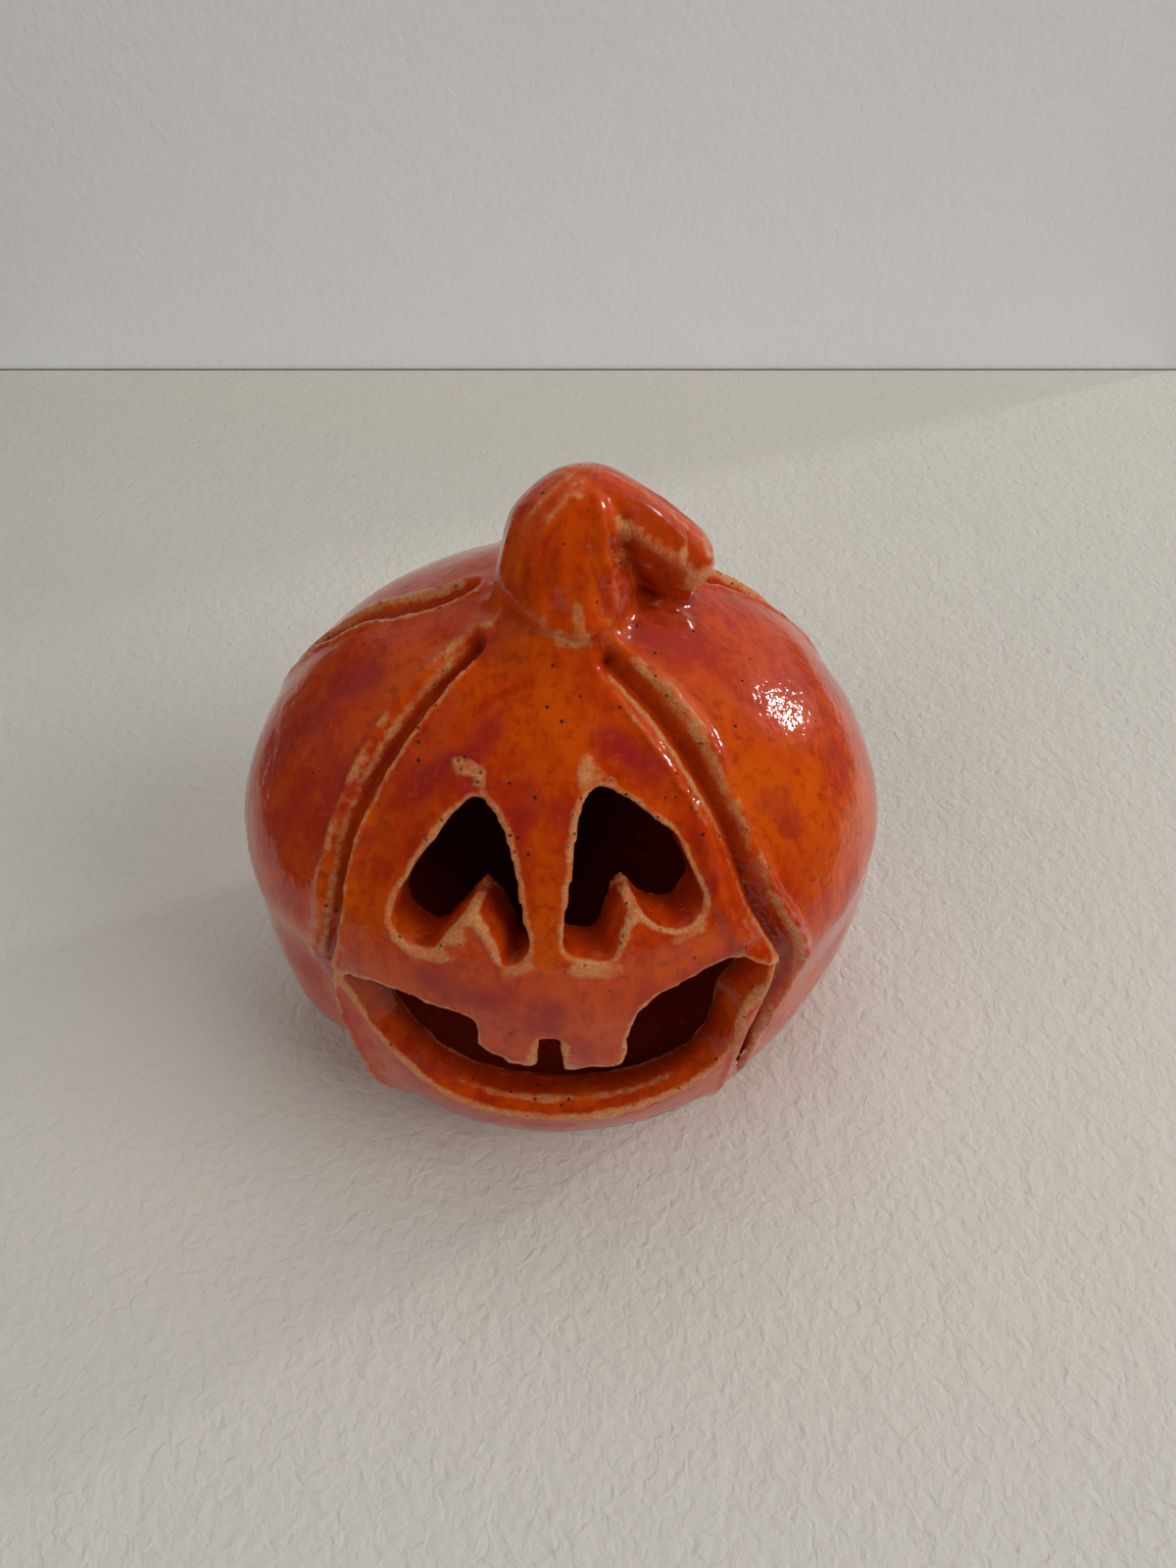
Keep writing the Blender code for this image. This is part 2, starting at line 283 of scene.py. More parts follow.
# ---------------------------------------------------------------------------------------
# The face. Two drooping eyes and a wide grin with one notched tooth are cut through the
# front wall with a fine knife. The grin's low lip is pared to a slope that runs inwards.
# ---------------------------------------------------------------------------------------

# Each outline goes round once, seen from the front: across and up. Eyes are in mm across
# a level cut, square to the wall on their side. The mouth is in degrees round the axis.
EYE_TURN = 20.0
LEFT_EYE = (
    (-0.9, 67.5), (1.7, 66.9), (5.0, 62.8), (7.2, 57.6), (8.5, 53.4), (6.6, 51.0), (4.9, 53.8),
    (1.4, 56.9), (-1.0, 54.3), (-3.5, 51.0), (-6.7, 51.5), (-8.4, 53.6), (-6.7, 58.8), (-3.9, 64.2),
)
RIGHT_EYE = (
    (-3.6, 68.9), (-0.9, 67.7), (3.6, 63.8), (4.5, 60.6), (5.6, 56.2), (3.4, 54.2), (0.1, 55.2),
    (-2.4, 57.6), (-4.7, 55.0), (-6.3, 52.1), (-9.0, 52.2), (-11.1, 53.6), (-9.2, 60.4),
    (-6.2, 67.0),
)
UPPER_LIP = (
    (-43.4, 39.6), (-37.0, 42.5), (-31.0, 43.0), (-22.5, 41.7), (-17.0, 41.0), (-16.3, 35.4),
    (-10.0, 33.0), (-4.8, 32.1), (-3.6, 38.4), (0.0, 38.6), (0.4, 32.2), (5.5, 32.0),
    (12.4, 32.1), (14.2, 40.6), (17.2, 44.2), (25.2, 46.3), (32.0, 47.4), (36.5, 46.5),
)
LOWER_LIP = (
    (42.5, 43.8), (39.0, 40.0), (35.4, 35.2), (34.7, 28.6), (31.0, 23.6), (23.0, 19.9),
    (11.0, 17.4), (-4.0, 16.6), (-17.0, 17.2), (-26.5, 19.8), (-33.0, 25.6), (-38.0, 30.2),
    (-41.2, 35.6),
)
KNIFE_TURNS = (0, 5, 7, 8, 9, 10, 12, 18)
OUTLINE_STEPS = 5
EYE_NEAR = 10.0 * MM
EYE_FAR = 60.0 * MM
LIP_PARED = 2.5 * MM
LIP_PARED_SLOPE = 0.9
LIP_FALL_SLOPE = 0.42
LIP_TOP = 36.0 * MM
LIP_REACH = 5.0 * MM
MOUTH_INNER_RADIUS = 14.0 * MM
MOUTH_OUTER_RADIUS = 72.0 * MM
MOUTH_LAYERS = (-2.0 * MM, 0.0, 1.0 * MM, 2.0 * MM)


def on_skin(turn, up):
    """Return the radius of the pot's surface at a turn round its axis and a height."""
    across = math.sin(turn) / (POT_WIDTH / 2)
    forward = math.cos(turn) / (POT_DEPTH / 2)
    return pot_share(up) / math.hypot(across, forward)


def knife_slab(outline, low, high):
    """Make a slab of a flat outline between two heights."""
    form = bmesh.new()
    rim = [form.verts.new((point[0], point[1], low)) for point in outline]
    line = [form.edges.new(pair) for pair in zip(rim, rim[1:] + rim[:1])]
    cut = bmesh.ops.contextual_create(form, geom=line)["faces"]
    lifted = bmesh.ops.extrude_face_region(form, geom=cut)["geom"]
    top = [part for part in lifted if isinstance(part, bmesh.types.BMVert)]
    bmesh.ops.translate(form, vec=(0, 0, high - low), verts=top)
    bmesh.ops.recalc_face_normals(form, faces=form.faces)
    return form


def eye_cut(outline, turn):
    """Shape an eye's cut: level, and square to the wall on that side of the face."""
    form = knife_slab(through(in_metres(outline), OUTLINE_STEPS, ring=True), EYE_NEAR, EYE_FAR)
    upright = Matrix.Rotation(math.radians(90.0), 4, "X")
    sideways = Matrix.Rotation(math.radians(turn), 4, "Z")
    bmesh.ops.transform(form, matrix=sideways @ upright, verts=form.verts)
    return form


def grin_cut():
    """Shape the mouth's cut: it goes in to the axis and leaves a crest inside the low lip."""
    middle = POT_DEPTH / 2
    outline = [(math.radians(turn) * middle, up * MM) for turn, up in UPPER_LIP + LOWER_LIP]
    smooth = through(outline, OUTLINE_STEPS, ring=True, corners=KNIFE_TURNS)
    form = knife_slab(smooth, MOUTH_LAYERS[0], MOUTH_LAYERS[-1])
    for level in MOUTH_LAYERS[1:-1]:
        bmesh.ops.bisect_plane(form, geom=form.verts[:] + form.edges[:] + form.faces[:],
                               plane_co=(0, 0, level), plane_no=(0, 0, 1))
    bmesh.ops.triangulate(form, faces=form.faces[:])
    for vert in form.verts:
        turn = vert.co.x / middle
        up = vert.co.y
        across = math.sin(turn)
        forward = -math.cos(turn)
        skin = on_skin(turn, up)
        low = math.sqrt(max(0.0, 1.0 - up / LIP_TOP))
        level = vert.co.z
        if level > MOUTH_LAYERS[1] + WELD:
            reach = MOUTH_OUTER_RADIUS if level > MOUTH_LAYERS[2] + WELD else skin + LIP_REACH
            up -= LIP_PARED_SLOPE * low * (LIP_PARED + LIP_REACH)
        elif level < MOUTH_LAYERS[1] - WELD:
            reach = MOUTH_INNER_RADIUS
            up -= LIP_FALL_SLOPE * low * (skin - LIP_PARED - reach)
        else:
            reach = skin - LIP_PARED
        vert.co = (reach * across, reach * forward, up)
    return form


knife_cuts = [
    placed("left_eye", eye_cut(LEFT_EYE, -EYE_TURN)),
    placed("right_eye", eye_cut(RIGHT_EYE, EYE_TURN)),
    placed("mouth", grin_cut()),
]

# ---------------------------------------------------------------------------------------
# One piece of clay. The stalk is joined on, the cuts are taken out, and the whole is gone
# over with a damp sponge. Then the maker's fingers and tools leave their marks in it.
# ---------------------------------------------------------------------------------------

CLAY_GRAIN = 0.45 * MM
SPONGING = 8
FINISHED_FACES = 192000

# How the loop leaves each groove, left side then right looking in from outside, in mm: how
# far the slope runs out to the burr, the burr's width and height, and how thin the glaze is.
BURRS = {
    "front_left": ((3.3, 2.3, 0.5, 0.9), (1.5, 1.0, 0.5, 0.65)),
    "front_right": ((3.0, 1.2, 0.45, 0.75), (2.1, 2.8, 1.2, 0.9)),
    "rear_right": ((2.2, 1.6, 0.4, 0.75), (1.9, 1.8, 0.45, 0.8)),
    "rear": ((1.9, 1.8, 0.4, 0.8), (2.3, 1.6, 0.45, 0.75)),
    "rear_left": ((1.8, 1.2, 0.3, 0.45), (1.8, 1.8, 0.35, 0.8)),
}
SLOPE_DEPTH = 0.9 * MM
PRESS_DEPTH = 1.0 * MM
PRESS_HALF_WIDTH = 0.6 * MM
BURR_LUMPS = 6.0 * MM
ROLLED_OVER = 52.0 * MM

# Creases pressed in and ridges raised with a tool or a finger: height in mm (in is
# negative), then x, y, z and half width along it, all in mm.
TOOL_MARKS = (
    # Where the curl leaves the stalk, down to the crotch.
    (-0.9, ((5.6, -2.4, 93.6, 0.6), (6.7, -3.3, 92.2, 0.8), (7.2, -3.9, 90.4, 0.8), (7.6, -4.0, 88.2, 0.8),
            (8.1, -3.6, 86.0, 0.8), (9.0, -3.0, 83.6, 0.8), (10.4, -2.4, 81.0, 0.8))),
    # Folds dragged down the stalk beside it.
    (0.8, ((4.2, -3.2, 94.3, 0.5), (4.7, -5.3, 92.4, 0.8), (5.0, -6.5, 89.6, 0.9), (5.6, -7.2, 86.6, 0.8))),
    (0.6, ((5.4, -3.4, 93.4, 0.4), (6.0, -4.7, 91.2, 0.6), (6.5, -5.2, 88.6, 0.6), (6.9, -5.2, 86.6, 0.5))),
    (-0.3, ((2.9, 0.0, 95.2, 0.5), (3.7, -1.8, 94.9, 0.5), (4.0, -3.8, 93.9, 0.6))),
    (0.35, ((-1.6, -6.2, 91.6, 1.2), (-2.6, -8.0, 87.2, 1.2), (-3.2, -9.3, 83.4, 1.2))),
    (-0.35, ((-3.4, -5.4, 89.5, 0.9), (-4.8, -7.0, 85.2, 1.0), (-6.0, -8.0, 81.8, 1.2))),
    (0.4, ((2.2, -7.6, 89.0, 1.1), (2.8, -9.3, 84.4, 1.2), (2.6, -10.8, 81.0, 1.3))),
    (-0.3, ((0.2, -8.4, 88.0, 0.8), (0.4, -9.8, 84.0, 0.9), (0.6, -11.0, 81.0, 1.0))),
    # The foot of the stalk, luted down on to the crown.
    (-0.55, ((-10.6, -3.0, 80.2, 1.0), (-7.0, -7.4, 81.2, 1.1), (-2.6, -10.6, 80.9, 1.0), (0.8, -11.6, 80.1, 0.9),
             (3.0, -11.4, 79.7, 0.9), (5.8, -10.0, 79.6, 1.0), (8.8, -6.4, 79.5, 1.2), (10.4, -2.0, 78.7, 1.2))),
    (0.7, ((0.6, -10.4, 81.6, 1.1), (3.0, -10.4, 81.2, 1.2), (5.2, -9.2, 81.2, 1.1))),
    # The pad of slip that the tip of the curl sits in.
    (0.9, ((10.4, -3.2, 78.5, 1.3), (13.2, -3.4, 77.8, 1.4), (15.4, -2.8, 77.0, 1.2))),
    (0.15, ((14.7, -1.9, 84.6, 0.7), (15.2, -0.2, 86.7, 0.7), (16.4, 3.6, 87.2, 0.7))),
    # The knob where the grin's right corner was pinched up, and the rib below it.
    (1.6, ((24.2, -31.4, 46.8, 1.1), (26.0, -30.9, 46.2, 1.5), (27.4, -30.3, 44.6, 1.2))),
    (0.6, ((26.2, -31.0, 41.0, 0.8), (25.4, -31.4, 36.0, 0.8), (24.2, -32.0, 30.0, 0.8), (23.4, -31.8, 23.0, 0.8))),
    # The roll between the right eye and its groove, and the sharp edge beside it.
    (1.0, ((16.4, -25.6, 64.0, 0.8), (17.9, -28.0, 59.8, 1.0), (18.9, -29.6, 56.8, 1.0), (20.3, -31.0, 52.8, 1.1),
           (22.2, -31.6, 49.6, 1.1))),
    (0.6, ((20.2, -25.8, 61.5, 0.5), (21.4, -27.6, 58.5, 0.55), (22.6, -28.9, 55.5, 0.55), (23.6, -29.9, 52.6, 0.55))),
    # The edge of the muzzle beside the left groove.
    (0.5, ((-22.6, -22.8, 63.6, 0.7), (-24.4, -25.6, 58.6, 0.7), (-25.6, -28.2, 53.0, 0.8), (-26.6, -30.0, 47.4, 0.9))),
)
CROWN = 77.0
PITS = ((7.6, -3.6, 91.4, 0.5, 0.6), (-7.6, -7.0, 82.0, 0.35, 0.5), (8.0, -12.6, 75.0, 0.3, 0.4))
MUZZLE_PROUD = 0.9 * MM
# The panels either side of the muzzle sit back low down: depth and reach in mm, which side.
SET_BACK = {"front_left": (2.4, 15.0, False), "front_right": (1.5, 30.0, True)}
SET_BACK_HEIGHT = (44.0 * MM, 28.0 * MM)
HAND_WOBBLE = ((26.0 * MM, 0.42 * MM), (9.0 * MM, 0.13 * MM), (3.5 * MM, 0.035 * MM))
FOOT_FADE = 4.0 * MM
STREAK_WIDTH = 1.5 * MM
STREAK_LENGTH = 11.0 * MM
STREAK_DEPTH = 0.2 * MM
RIM_CHEW = 0.15 * MM
RIM_CHEW_WAVE = 3.0 * MM


def worked(piece, tool, operation):
    """Join a tool's shape to the piece, or cut it out."""
    step = piece.modifiers.new(tool.name, "BOOLEAN")
    step.operation = operation
    step.solver = "EXACT"
    step.object = tool


def settled(piece):
    """Return the mesh that a piece's modifiers make, and clear them."""
    bpy.context.view_layer.update()
    made = piece.evaluated_get(bpy.context.evaluated_depsgraph_get())
    mesh = bpy.data.meshes.new_from_object(made)
    piece.modifiers.clear()
    piece.data = mesh
    return mesh


def ramp(value, start, end):
    """Return 0 at the start and 1 at the end, with a smooth rise between."""
    t = np.clip((value - start) / (end - start), 0.0, 1.0)
    return t * t * (3.0 - 2.0 * t)


def waves(places, size, offset=0.0):
    """Return smooth noise, about -0.5 to 0.5, with waves of a size."""
    scaled = np.asarray(places) / size + offset
    return np.array([noise.noise(Vector(place)) for place in scaled])


def nearest(places, run):
    """Return the gap from each place to a run, the offset, the run's heading and its radius."""
    gap = np.full(len(places), np.inf)
    offset = np.zeros_like(places)
    heading = np.zeros_like(places)
    radius = np.zeros(len(places))
    for start, end in zip(run, run[1:]):
        step = end[:3] - start[:3]
        t = np.clip((places - start[:3]) @ step / (step @ step), 0.0, 1.0)
        away = places - start[:3] - t[:, None] * step
        far = np.linalg.norm(away, axis=1)
        closer = far < gap
        gap[closer] = far[closer]
        offset[closer] = away[closer]
        heading[closer] = step / np.linalg.norm(step)
        radius[closer] = start[3] + t[closer] * (end[3] - start[3])
    return gap, offset, heading, radius


worked(pot, stalk, "UNION")
for cut in loop_cuts + [chamber] + knife_cuts:
    worked(pot, cut, "DIFFERENCE")
settled(pot)
for spent in [stalk, chamber] + loop_cuts + knife_cuts:
    bpy.data.objects.remove(spent, do_unlink=True)
skin = pot.modifiers.new("skin", "REMESH")
skin.mode = "VOXEL"
skin.voxel_size = CLAY_GRAIN
clay = settled(pot)
sponge = bmesh.new()
sponge.from_mesh(clay)
for pass_over in range(SPONGING):
    bmesh.ops.smooth_vert(sponge, verts=sponge.verts, factor=0.5,
                          use_axis_x=True, use_axis_y=True, use_axis_z=True)
sponge.to_mesh(clay)
sponge.free()

grains = len(clay.vertices)
at = np.empty(grains * 3)
clay.vertices.foreach_get("co", at)
at = at.reshape(-1, 3)
out = np.empty(grains * 3)
clay.vertex_normals.foreach_get("vector", out)
out = out.reshape(-1, 3)
links = np.empty(len(clay.edges) * 2, np.int32)
clay.edges.foreach_get("vertices", links)
links = links.reshape(-1, 2)
neighbours = np.bincount(links.ravel(), minlength=grains)


def soaked(values, rounds):
    """Let values at the clay's grains soak into their neighbours."""
    for again in range(rounds):
        near = np.bincount(links[:, 0], values[links[:, 1]], grains)
        near += np.bincount(links[:, 1], values[links[:, 0]], grains)
        values = (values + near / neighbours) / 2
    return values


# How sharply the clay turns outwards (an edge) or inwards (a hollow) at each grain.
mean = np.stack([soaked(at[:, axis], 1) for axis in range(3)], axis=1)
bulge = soaked(np.einsum("ij,ij->i", at - mean, out), 2) / CLAY_GRAIN

# The pot's own outward direction, and whether a grain is on its outside.
round_out = at * (1.0 / POT_WIDTH ** 2, 1.0 / POT_DEPTH ** 2, 1.0 / POT_WIDTH ** 2)
round_out[:, 2] -= BELLY_HEIGHT / POT_WIDTH ** 2
round_out /= np.linalg.norm(round_out, axis=1)[:, None]
turn_at = np.arctan2(at[:, 0], -at[:, 1])
share_at = np.interp(at[:, 2], np.linspace(0, POT_HEIGHT, 400),
                     [pot_share(up) for up in np.linspace(0, POT_HEIGHT, 400)])
reach_at = share_at / np.hypot(np.sin(turn_at) / (POT_WIDTH / 2), np.cos(turn_at) / (POT_DEPTH / 2))
out_of_middle = np.hypot(at[:, 0], at[:, 1])
stalk_run = np.array(through(in_metres(STALK), STALK_STEPS))
stalk_gap, stalk_offset, stalk_heading, stalk_radius = nearest(at, stalk_run)
on_stalk = ramp(stalk_gap / stalk_radius, 1.5, 1.15) * ramp(at[:, 2], 77.5 * MM, 81.0 * MM)
facing_out = np.einsum("ij,ij->i", out, round_out)
chamber_depth = np.maximum(reach_at - out_of_middle, 0.0) * (1.0 - on_stalk)
dome_depth = POT_HEIGHT - at[:, 2]
skin_depth = np.minimum(chamber_depth, np.maximum(dome_depth, 0.0))
inner = ramp(skin_depth, 2.5 * MM, 5.0 * MM) * (1.0 - on_stalk)

# The potter's hands: slow dents all over, and streaks dragged down the stalk.
steady = ramp(at[:, 2], 0.3 * MM, FOOT_FADE)
push = np.zeros(grains)
for wave_size, depth in HAND_WOBBLE:
    push += waves(at, wave_size, wave_size / MM) * 2.0 * depth * steady
spin_at = np.arctan2(stalk_offset[:, 1] + 1e-9, stalk_offset[:, 0] + 1e-9)
drag = np.stack([np.cos(spin_at), np.sin(spin_at), np.zeros(grains)], axis=1) * stalk_radius[:, None]
drag /= STREAK_WIDTH
drag[:, 2] = at[:, 2] / STREAK_LENGTH
push += waves(drag, 1.0) * 2.0 * STREAK_DEPTH * on_stalk * ramp(at[:, 2], 95.0 * MM, 90.0 * MM)
at += out * push[:, None]

# The loop tool throws up a burr on each side of a groove.
bare = np.zeros(grains)
sunk = np.zeros(grains)
lumps = 0.85 + waves(at, BURR_LUMPS, 3.7) * 0.7 + waves(at, BURR_LUMPS / 3, 9.1) * 0.25
patchy = 0.68 + waves(at, BURR_LUMPS, 6.2) * 1.2 + waves(at, BURR_LUMPS / 4, 2.4) * 0.5
for side, run in groove_runs.items():
    gap, offset, heading, radius = nearest(at, run)
    right_of = np.einsum("ij,ij->i", np.cross(round_out, heading), offset) > 0.0
    fade = ramp(at[:, 2], 3.0 * MM, 12.0 * MM) * (1.0 - inner)
    press = np.exp(-(gap / PRESS_HALF_WIDTH) ** 2) * (1.0 - inner) * steady
    at -= round_out * (press * PRESS_DEPTH)[:, None]
    rolled_over = np.exp(-((at[:, 2] - ROLLED_OVER) / (8.0 * MM)) ** 2) * (side == "front_right")
    for chosen, (apart, width, height, thin) in zip((~right_of, right_of), BURRS[side]):
        middle = apart * MM * np.clip(radius / (1.1 * MM), 0.7, 1.15)
        slope = np.clip(1.0 - gap / (middle - 0.1 * width * MM), 0.0, 1.0) ** 1.2
        at -= round_out * (slope * chosen * (1.0 - inner) * steady * SLOPE_DEPTH)[:, None]
        shape = np.exp(-((gap - middle) / (0.42 * width * MM)) ** 2)
        rise_by = shape * chosen * fade * lumps * height * (1.0 + 0.75 * rolled_over * right_of)
        at += round_out * (rise_by * MM)[:, None]
        cover = np.exp(-((gap - middle) / (0.36 * width * MM)) ** 2)
        cover *= 1.0 - 0.6 * rolled_over * right_of
        bare = np.maximum(bare, cover * chosen * fade * thin * np.clip(patchy, 0, 1.1))
    sunk = np.maximum(sunk, ramp(gap, 1.3 * MM, 0.5 * MM) * (1.0 - inner))
    if side in SET_BACK:
        depth, reach, on_right = SET_BACK[side]
        low = ramp(at[:, 2], *SET_BACK_HEIGHT)
        nearby = ramp(gap, reach * MM, 0.4 * reach * MM) * ramp(at[:, 2], 0.1 * MM, 2.0 * MM)
        panel = right_of if on_right else ~right_of
        at -= round_out * (low * nearby * panel * depth * MM * (1.0 - inner))[:, None]
    if side == "front_left":
        close = ramp(gap, 5.0 * MM, radius)
        at += round_out * (low * close * right_of * MUZZLE_PROUD * (1.0 - inner) * steady)[:, None]

# Creases, ridges and pits.
for height, knots in TOOL_MARKS:
    run = np.array(through(in_metres(knots), 4))
    low_corner = run[:, :3].min(axis=0) - 6.0 * MM
    high_corner = run[:, :3].max(axis=0) + 6.0 * MM
    close = np.all((at > low_corner) & (at < high_corner), axis=1)
    gap, offset, heading, width = nearest(at[close], run)
    way = out if knots[0][2] > CROWN else round_out
    at[close] += way[close] * (np.exp(-(gap / width) ** 2) * height * MM)[:, None]
for x, y, z, size, depth in PITS:
    gap = np.linalg.norm(at - np.array((x, y, z)) * MM, axis=1)
    at -= out * (np.exp(-(gap / (size * MM)) ** 2) * depth * MM)[:, None]

# Cut edges come out a little chewed where the knife met grog.
rim = soaked(ramp(bulge, 0.008, 0.022), 2)
chew = waves(at, RIM_CHEW_WAVE, 5.5) + 0.5 * waves(at, RIM_CHEW_WAVE / 2, 8.2)
at += out * (rim * chew * RIM_CHEW * 2.0 * steady)[:, None]
at = np.clip(at, np.array(cad_box[0]), np.array(cad_box[1]))
clay.vertices.foreach_set("co", at.ravel())
clay.update()
clay.shade_smooth()

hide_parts("pumpkin_lantern")
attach(pot, "root")

# ---------------------------------------------------------------------------------------
# The glaze. A glossy orange glaze goes on thick with a brush. It runs off the edges, where
# the buff clay shows, pools in the hollows, and clouds to plum where the strokes overlap.
# Inside the chamber, on the curl's shaded side and below it, its colour is darkened as painted shade.
# ---------------------------------------------------------------------------------------

# Brush strokes: turn round the axis in degrees and height in mm at each end, half width in
# mm, strength. First where the strokes overlap and cloud to plum, then where they lie thick.
PLUM_STROKES = (
    (-71, 71.7, -76, 69, 2.6, 0.9), (-73, 66, -77, 58, 2.6, 0.8), (-56, 64.7, -54, 57, 2.2, 0.7),
    (-62, 60, -64, 52, 2.6, 0.6), (-47, 68.6, -51, 65, 2.2, 0.6), (-32, 69.6, -37, 66.8, 1.7, 1.0),
    (-22.6, 73.2, -26, 70.2, 1.4, 0.8), (-23.6, 68.8, -23, 67.6, 1.2, 0.6),
    (17.5, 72.4, 27.5, 69.6, 1.6, 1.0), (-1.8, 44.4, -2.2, 42.2, 2.2, 0.8),
    (-11.5, 45.4, -24.5, 47.5, 1.8, 0.9), (56, 77.2, 72, 75.4, 2.4, 0.8),
    (-7.7, 69.5, -9, 66.5, 1.3, 0.5), (24, 47.6, 33, 49.0, 1.4, 0.4), (150, 66, 160, 48, 3.6, 0.8),
    (-130, 60, -136, 44, 3.2, 0.8), (96, 60, 100, 40, 3.4, 0.6), (-100, 42, -106, 24, 3.2, 0.6),
)
THICK_STROKES = (
    (48, 66, 62, 54, 5.0, 1.0), (44, 73.6, 52, 72, 3.5, 0.9), (-3.9, 76.6, -6, 73, 4.0, 0.8),
    (-43, 62, -45, 48, 2.6, 0.9), (-60, 74.6, -66, 72, 3.0, 0.8), (-1.8, 63, -1.8, 52, 1.8, 0.8),
    (-14, 49.6, -19, 47.6, 2.0, 0.6), (16, 50, 28, 51, 2.0, 0.7), (70, 52, 78, 40, 5.0, 0.8),
    (-66, 44, -70, 30, 4.0, 0.6), (130, 64, 140, 40, 6.0, 0.8), (-160, 62, -170, 40, 6.0, 0.8),
)
# Where the sponge wiped the wet glaze thin, given the same way.
WIPED = (
    (-28.4, 70.0, -22.4, 69.8, 1.1, 0.95), (-21.6, 69.4, -18.0, 66.6, 0.6, 0.8),
    (8.2, 69.6, 9.4, 71.2, 1.2, 0.95), (11.0, 70.8, 16.0, 69.2, 0.6, 0.6),
    (-27.6, 50.8, -21.0, 51.0, 1.1, 1.0), (-23.0, 54.2, -19.4, 54.0, 1.5, 0.9),
    (-9.6, 50.2, -5.8, 51.6, 1.1, 0.9), (-10.4, 47.8, -9.4, 48.6, 0.7, 0.5),
    (4.0, 51.0, 10.4, 50.6, 1.4, 1.0), (16.4, 56.4, 19.0, 55.8, 0.8, 0.6),
    (22.6, 52.8, 28.6, 53.8, 0.9, 0.7), (-2.4, 73.8, -2.0, 74.0, 0.8, 0.4),
    (40.0, 44.8, 43.0, 44.2, 1.0, 0.8),
)
STALK_WIPED = (
    (0.8, -11.2, 80.6, 3.2, -10.9, 80.4, 1.2, 0.65), (-1.8, -6.6, 92.0, -2.4, -8.8, 86.0, 1.0, 0.4),
    (2.6, -9.8, 84.4, 2.2, -10.6, 82.0, 0.9, 0.5), (7.1, -3.9, 91.6, 7.6, -4.0, 88.4, 0.6, 0.5),
    (10.6, -2.2, 79.0, 14.6, -2.0, 78.0, 0.9, 0.6), (14.7, -1.9, 84.6, 15.0, 0.0, 86.8, 0.5, 0.5),
    (-9.6, -1.0, 81.0, -7.4, -3.4, 83.4, 0.9, 0.5), (-0.6, -5.6, 93.2, 2.2, -3.6, 94.4, 1.2, 0.5),
    (8.6, -7.4, 80.6, 9.8, -4.0, 80.2, 0.6, 0.6),
)
# Painted shade on the curl's shaded side and on the shoulder below it: x, y, z at each end in mm, half width in mm,
# strength.
CURL_SHADE_STROKES = ((8.6, -2.2, 89.4, 13.4, -0.4, 82.6, 3.6, 0.75), (12.0, -2.4, 77.6, 15.6, -2.0, 76.6, 2.2, 0.7))


def on_pot(turn, up):
    """Return the point of the pot's surface at a turn in degrees and a height in mm."""
    way = math.radians(turn)
    reach = on_skin(way, up * MM)
    return np.array((reach * math.sin(way), -reach * math.cos(way), up * MM))


def stroked(strokes, edge):
    """Return how much each grain is covered by strokes given by their two ends."""
    cover = np.zeros(grains)
    for *ends, half, strength in strokes:
        if len(ends) == 4:
            start, end = on_pot(*ends[:2]), on_pot(*ends[2:])
        else:
            start, end = np.array(ends[:3]) * MM, np.array(ends[3:]) * MM
        run = (np.append(start, 1.0), np.append(end, 1.0))
        close = np.linalg.norm(at - (start + end) / 2, axis=1) < 24.0 * MM
        gap = nearest(at[close], run)[0] / (half * MM)
        cover[close] = np.maximum(cover[close], strength * ramp(gap, 1.0 + edge, 1.0 - edge))
    return cover


outside = 1.0 - inner
edge_band = np.clip(soaked(ramp(bulge, 0.008, 0.020), 4) * 1.25, 0.0, 1.0)
hollow = np.clip(soaked(ramp(-bulge, 0.005, 0.016), 5) * 1.2, 0.0, 1.0)
wiped = np.maximum(stroked(WIPED, 0.6), stroked(STALK_WIPED, 0.6)) * outside
# Painted shade on the curl and on the shoulder below it.
curl_shade = stroked(CURL_SHADE_STROKES, 0.5)
streaky = (waves(drag, 1.0, 4.2) * 1.6 + 0.25) * on_stalk
bare = np.maximum.reduce([bare, edge_band * 0.95, wiped])
# The hollow layer holds glaze pooled in hollows and groove bottoms, plus the painted shade on the curl.
for name, layer in (
        ("bare", bare * (1.0 - 0.35 * inner)), ("hollow", np.maximum.reduce([hollow, sunk, curl_shade])),
    ("plum", stroked(PLUM_STROKES, 0.75) * outside), ("thick", stroked(THICK_STROKES, 0.7) * outside),
        ("inner", inner), ("streaky", np.clip(streaky, 0, 1))):
    clay.attributes.new(name, "FLOAT", "POINT").data.foreach_set("value", soaked(layer, 1))
skim = pot.modifiers.new("skim", "DECIMATE")
skim.ratio = FINISHED_FACES / (2 * len(clay.polygons))
clay = settled(pot)
clay.shade_smooth()

ORANGE = (0.60, 0.056, 0.001)
AMBER = (0.68, 0.094, 0.001)
RED_ORANGE = (0.49, 0.030, 0.002)
PLUM = (0.33, 0.012, 0.016)
DEEP = (0.30, 0.020, 0.001)
CHAMBER_SHADE = (0.24, 0.016, 0.002)
BUFF = (0.64, 0.205, 0.062)
PALE_BUFF = (0.72, 0.34, 0.15)
IRON = (0.02, 0.012, 0.008)
BISQUE = (0.45, 0.33, 0.23)

glaze = bpy.data.materials.new("orange_glaze")
glaze.use_nodes = True
tree = glaze.node_tree
shader = tree.nodes["Principled BSDF"]
place = tree.nodes.new("ShaderNodeTexCoord").outputs["Object"]


def wire(value, socket, nodes):
    """Link a socket, or set it to a plain value."""
    if isinstance(value, bpy.types.NodeSocket):
        nodes.links.new(value, socket)
    elif isinstance(value, tuple) and len(value) == 3 and len(socket.default_value) == 4:
        socket.default_value = (*value, 1.0)
    else:
        socket.default_value = value


